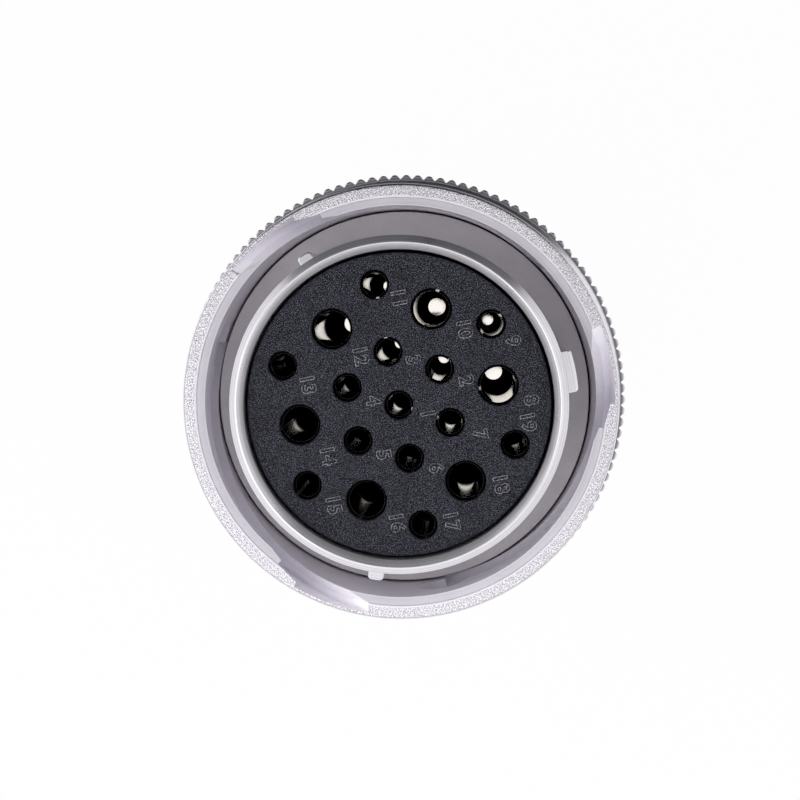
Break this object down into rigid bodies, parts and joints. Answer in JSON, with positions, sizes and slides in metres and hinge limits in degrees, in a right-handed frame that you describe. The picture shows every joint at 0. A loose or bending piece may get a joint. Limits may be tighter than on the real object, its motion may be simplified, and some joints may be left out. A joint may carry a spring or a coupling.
{
  "type": "circular electrical connector plug",
  "caption": "Round metal cable plug with numbered socket contacts in a black insert, a keyed nose, a knurled quick-lock coupling ring and a cable gland.",
  "frame": {"origin": "centre of the gland nut's rear face", "axes": "+Z along the plug out of the mating face, +X along the row of contacts 13, 4, 1, 7 and 19"},
  "size_m": [0.04, 0.04, 0.0618],
  "materials": {
    "die_cast_metal": "zinc die casting, satin nickel plate, grainy on the front of the ring",
    "turned_metal": "turned and satin nickel plated",
    "spring_steel": "bright spring steel",
    "insert_plastic": "black moulded plastic with a fine spark-eroded grain",
    "gasket_rubber": "smooth grey rubber",
    "seal_rubber": "black rubber",
    "contact_plating": "bright plated brass"
  },
  "bodies": {
    "plug_body": {"plug_shell": "die_cast_metal", "shell_nose": "die_cast_metal", "face_gasket": "gasket_rubber", "front_insert": "insert_plastic", "rear_insert": "insert_plastic", "insert_lock_ring": "turned_metal", "wave_spring": "spring_steel", "retaining_clip": "spring_steel", "shell_seal": "seal_rubber", "backshell": "turned_metal", "cable_grommet": "seal_rubber", "contact_1": "contact_plating", "contact_2": "contact_plating", "contact_3": "contact_plating", "contact_4": "contact_plating", "contact_5": "contact_plating", "contact_6": "contact_plating", "contact_7": "contact_plating", "contact_8": "contact_plating", "contact_9": "contact_plating", "contact_10": "contact_plating", "contact_11": "contact_plating", "contact_12": "contact_plating", "contact_13": "contact_plating", "contact_14": "contact_plating", "contact_15": "contact_plating", "contact_16": "contact_plating", "contact_17": "contact_plating", "contact_18": "contact_plating", "contact_19": "contact_plating"},
    "thrust_washer": {"thrust_washer": "spring_steel"},
    "coupling_ring": {"coupling_ring": "die_cast_metal", "ring_shoulder": "die_cast_metal"},
    "slip_washer": {"slip_washer": "spring_steel"},
    "gland_nut": {"gland_nut": "turned_metal"}
  },
  "joints": [
    {"name": "ring_float", "type": "slide", "parent": "plug_body", "child": "thrust_washer", "axis": [0, 0, 1], "range_m": [0, 0.0006], "stiffness_N_per_m": 5000, "springref_m": -0.0003, "deforming": ["wave_spring"]},
    {"name": "ring_turn", "type": "hinge", "parent": "thrust_washer", "child": "coupling_ring", "pos_m": [0, 0, 0.0413], "axis": [0, 0, 1], "continuous": true},
    {"name": "gland_feed", "type": "slide", "parent": "plug_body", "child": "slip_washer", "axis": [0, 0, 1], "range_m": [-0.0045, 0]},
    {"name": "gland_nut_turn", "type": "hinge", "parent": "slip_washer", "child": "gland_nut", "pos_m": [0, 0, 0.007], "axis": [0, 0, 1], "range_deg": [-1080, 0]}
  ],
  "couplings": [
    {"joint": "gland_feed", "follows": "gland_nut_turn", "m_per_rad": 0.00023873}
  ]
}
